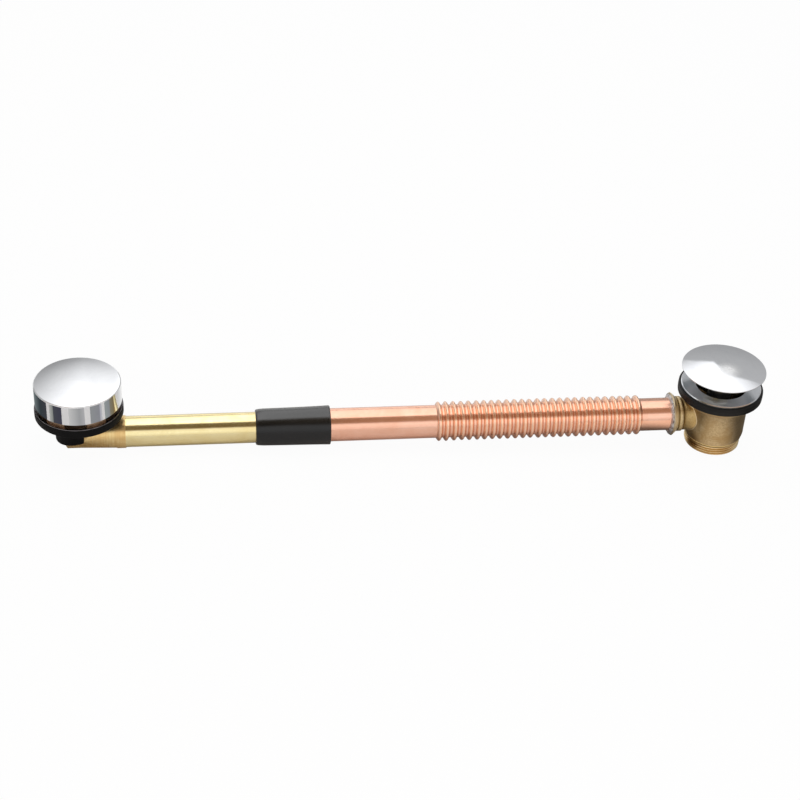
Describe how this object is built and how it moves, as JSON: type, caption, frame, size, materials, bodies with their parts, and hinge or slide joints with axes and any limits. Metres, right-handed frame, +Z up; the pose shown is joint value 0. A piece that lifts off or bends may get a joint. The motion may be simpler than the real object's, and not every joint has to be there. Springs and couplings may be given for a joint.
{
  "type": "bath waste and overflow set",
  "caption": "Click-clack bath waste and round overflow head joined by a straight drain pipe with a corrugated copper stretch and a rubber sleeve joint.",
  "frame": {"origin": "centre of the waste tail's open lower end", "axes": "+Z up along the waste axis, -X along the pipe from the waste to the overflow head"},
  "size_m": [0.6144, 0.0724, 0.0826],
  "materials": {
    "cast_brass": "sand-cast brass, satin, unpolished",
    "sanded_brass": "brass casting dressed with a sanding belt",
    "polished_brass": "drawn brass tube, polished",
    "turned_brass": "turned brass, bright",
    "plated_brass": "turned brass with thin bright plating",
    "copper": null,
    "chrome": "mirror chrome plating",
    "black_rubber": "matte moulded rubber",
    "grey_rubber": "satin charcoal rubber",
    "pale_silicone": "soft pale silicone",
    "black_plastic": "moulded black plastic",
    "solder": null,
    "cartridge_plastic": "natural moulded plastic",
    "spring_steel": "stainless spring wire"
  },
  "bodies": {
    "drain_set": {"waste_body": "cast_brass", "branch_solder": "solder", "copper_tube": "copper", "rubber_sleeve": "grey_rubber", "brass_tube": "polished_brass", "waste_washer": "black_rubber", "waste_flange": "chrome", "cartridge_housing": "black_plastic", "cartridge_bush": "cartridge_plastic", "click_spring": "spring_steel", "overflow_elbow": "sanded_brass", "overflow_gasket": "black_rubber", "overflow_insert": "plated_brass", "cap_o_ring": "black_rubber", "overflow_cap": "chrome"},
    "plug": {"plug_cap": "chrome", "plug_seal": "pale_silicone", "seal_nut": "cartridge_plastic", "plug_stem": "turned_brass", "click_rotor": "cartridge_plastic"}
  },
  "joints": [
    {"name": "plug_slide", "type": "slide", "parent": "drain_set", "child": "plug", "axis": [0, 0, 1], "range_m": [-0.013, 0], "stiffness_N_per_m": 400, "springref_m": 0.012, "deforming": ["click_spring"]}
  ]
}
